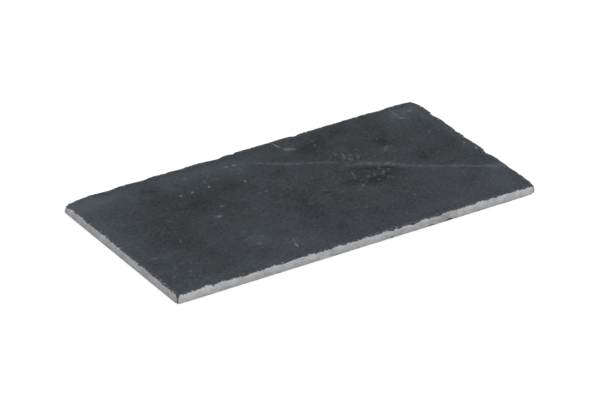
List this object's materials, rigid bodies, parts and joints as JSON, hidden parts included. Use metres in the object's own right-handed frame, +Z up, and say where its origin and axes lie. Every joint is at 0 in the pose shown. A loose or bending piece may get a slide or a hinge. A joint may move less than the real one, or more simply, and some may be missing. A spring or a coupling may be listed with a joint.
{
  "type": "riven slate board",
  "caption": "Thin rectangular slab of dark riven slate with pale hand-trimmed edges, on soft anti-slip pads, lying flat as a board or tray.",
  "frame": {"origin": "under the middle of the slab, on the surface that the feet stand on", "axes": "+X along the slab's length, +Y across its width towards the rear edge, +Z up out of the upper face"},
  "size_m": [0.25, 0.1324, 0.0075],
  "materials": {
    "slate": "matte",
    "pad_rubber": "matte",
    "adhesive_film": "matte"
  },
  "bodies": {
    "root": {"slate_slab": "slate", "foot_pad_front_left": "pad_rubber", "foot_pad_front_right": "pad_rubber", "foot_pad_rear_left": "pad_rubber", "foot_pad_rear_right": "pad_rubber", "foot_tape_front_left": "adhesive_film", "foot_tape_front_right": "adhesive_film", "foot_tape_rear_left": "adhesive_film", "foot_tape_rear_right": "adhesive_film"}
  },
  "joints": []
}
